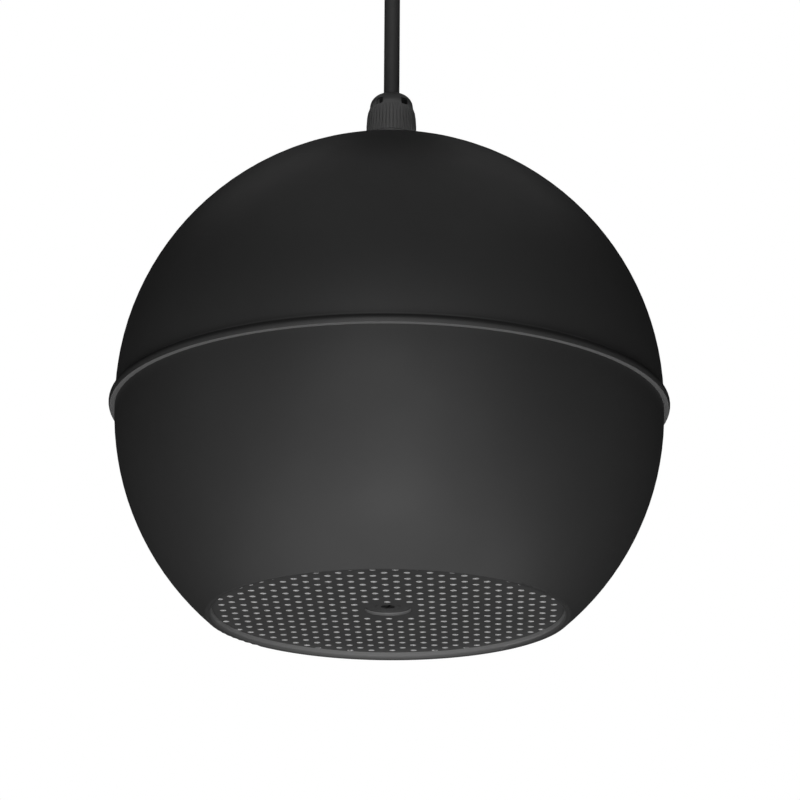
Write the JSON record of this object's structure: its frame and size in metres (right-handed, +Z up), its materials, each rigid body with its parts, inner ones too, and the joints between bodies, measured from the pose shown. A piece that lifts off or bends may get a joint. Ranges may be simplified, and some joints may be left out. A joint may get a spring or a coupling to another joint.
{
  "type": "pendant speaker",
  "caption": "Black ball-shaped pendant loudspeaker hung on its own cord, with a rim around its middle and a round perforated grille facing down.",
  "frame": {"origin": "centre of the ceiling plate's top face, where it meets the ceiling", "axes": "+Z up, out of the ceiling plate's top face; -Z down along the cord to the grille; +X and +Y span the ceiling, with the viewer of the picture on the -Y side"},
  "size_m": [0.184, 0.184, 0.2639],
  "materials": {
    "shell_black": "satin, fine texture",
    "plastic_black": "satin",
    "nylon_white": "satin",
    "zinc_steel": "zinc plated",
    "lamination_steel": "varnished laminations",
    "tape_yellow": "satin",
    "ceramic_white": "unglazed",
    "wire_red": "satin",
    "wire_black": "satin",
    "wadding_white": "soft fleece",
    "ferrite": "matt",
    "frame_black": "satin",
    "rubber_black": "matt",
    "cord_black": "satin",
    "board_brown": "satin",
    "brass_lug": "tinned",
    "spider_cloth": "woven and hardened",
    "coil_copper": "enamelled copper wire",
    "former_brown": "matt",
    "paper_black": "matt pressed paper",
    "cloth_black": "matt",
    "grille_black": "satin powder coat"
  },
  "bodies": {
    "housing": {"ceiling_plate": "zinc_steel", "ceiling_cup": "shell_black", "cup_screws": "zinc_steel", "cord_grip": "plastic_black", "cord_grip_nut": "zinc_steel", "cord_grip_screw": "nylon_white", "ceiling_block": "nylon_white", "ceiling_block_screws": "zinc_steel", "cord_upper_end": "cord_black", "ceiling_cores": "wire_red", "cord": "cord_black", "gland_nut": "plastic_black", "gland_body": "plastic_black", "gland_seal": "rubber_black", "gland_locknut": "zinc_steel", "cord_lower_end": "cord_black", "cord_collar": "nylon_white", "upper_shell": "shell_black", "rim_seal": "rubber_black", "lower_shell": "shell_black", "carrier_plate": "zinc_steel", "carrier_screws": "zinc_steel", "transformer_core": "lamination_steel", "transformer_bobbin": "nylon_white", "transformer_winding": "tape_yellow", "transformer_bracket": "zinc_steel", "bracket_screws": "zinc_steel", "terminal_block": "ceramic_white", "terminal_screws": "zinc_steel", "cord_cores": "wire_red", "transformer_leads": "wire_red", "driver_leads": "wire_black", "wadding": "wadding_white", "back_plate": "zinc_steel", "magnet": "ferrite", "front_plate": "zinc_steel", "driver_frame": "frame_black", "driver_gasket": "rubber_black", "driver_screws": "zinc_steel", "terminal_board": "board_brown", "terminal_lugs": "brass_lug", "spider": "spider_cloth", "surround": "rubber_black", "grille_bridge": "zinc_steel", "bridge_bush": "zinc_steel", "bridge_screws": "zinc_steel", "dust_cloth": "cloth_black", "grille": "grille_black", "grille_screw": "grille_black"},
    "cone_assembly": {"cone": "paper_black", "dust_cap": "paper_black", "coil_former": "former_brown", "voice_coil": "coil_copper"}
  },
  "joints": [
    {"name": "cone_travel", "type": "slide", "parent": "housing", "child": "cone_assembly", "axis": [0, 0, 1], "range_m": [-0.0025, 0.0025], "stiffness_N_per_m": 1500, "deforming": ["surround", "spider"]}
  ]
}
